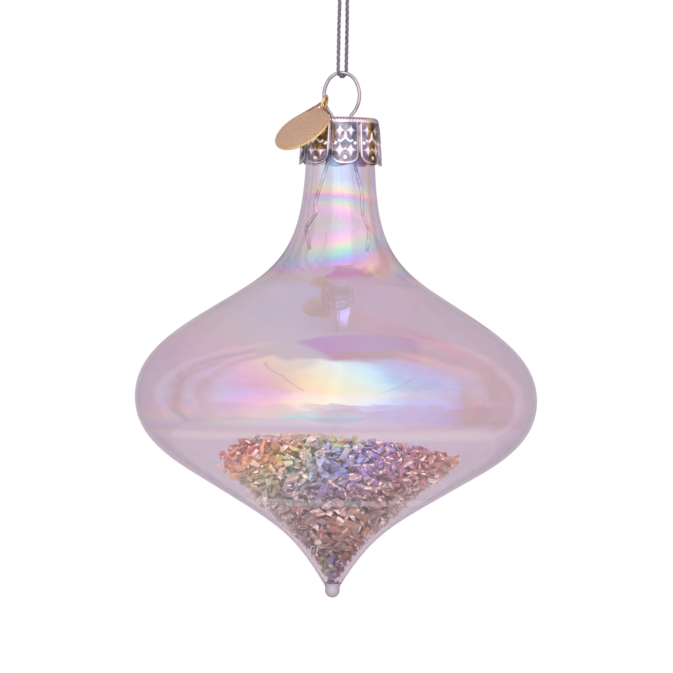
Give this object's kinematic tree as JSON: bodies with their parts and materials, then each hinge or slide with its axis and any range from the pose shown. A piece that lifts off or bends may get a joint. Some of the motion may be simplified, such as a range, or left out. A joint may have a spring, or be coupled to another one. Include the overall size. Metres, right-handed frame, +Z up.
{
  "type": "glass hanging ornament",
  "caption": "Clear spinning-top glass bauble holding loose glass chips, with a lobed metal cap, sprung wire hanger, round tag on a ring and a cord loop to hang it by.",
  "frame": {"origin": "the place where the cord loop hangs, between its strands just under the knot", "axes": "+Z up along the hanging axis, +X to the right of the front view, front towards -Y"},
  "size_m": [0.08, 0.08, 0.1628],
  "materials": {
    "clear_glass": "clear blown glass with an iridescent film",
    "rose_chips": "crushed pink glass",
    "blush_chips": "crushed pale pink glass",
    "amber_chips": "crushed amber pink glass",
    "clear_chips": "crushed near-clear glass",
    "silver_cap": "stamped bright silver",
    "steel_wire": "drawn bright wire",
    "gold_ring": "bright gold plate",
    "gold_tag": "satin gold plate with a fine grain",
    "silver_cord": "twisted metallic thread"
  },
  "bodies": {
    "cord": {"hanging_cord": "silver_cord", "cord_knot": "silver_cord"},
    "hanger": {"hanger_loop": "steel_wire", "spring_legs": "steel_wire", "cap": "silver_cap"},
    "bulb": {"glass_bulb": "clear_glass", "chips_rose": "rose_chips", "chips_blush": "blush_chips", "chips_amber": "amber_chips", "chips_clear": "clear_chips"},
    "ring": {"tag_ring": "gold_ring"},
    "tag": {"tag_plate": "gold_tag"}
  },
  "joints": [
    {"name": "ornament_swing", "type": "hinge", "parent": "cord", "child": "hanger", "pos_m": [0, 0, -0.052], "axis": [1, 0, 0], "range_deg": [-60, 60]},
    {"name": "bulb_pull", "type": "slide", "parent": "hanger", "child": "bulb", "axis": [0, 0, -1], "range_m": [0, 0.04], "deforming": ["spring_legs"]},
    {"name": "ring_turn", "type": "hinge", "parent": "hanger", "child": "ring", "pos_m": [-0.0032, 0, -0.05845], "axis": [0.342, 0, -0.9397], "range_deg": [-55, 15]},
    {"name": "tag_lift", "type": "hinge", "parent": "ring", "child": "tag", "pos_m": [-0.00397, -0.00311, -0.05874], "axis": [-0.7314, 0.682, 0], "range_deg": [0, 60]}
  ]
}
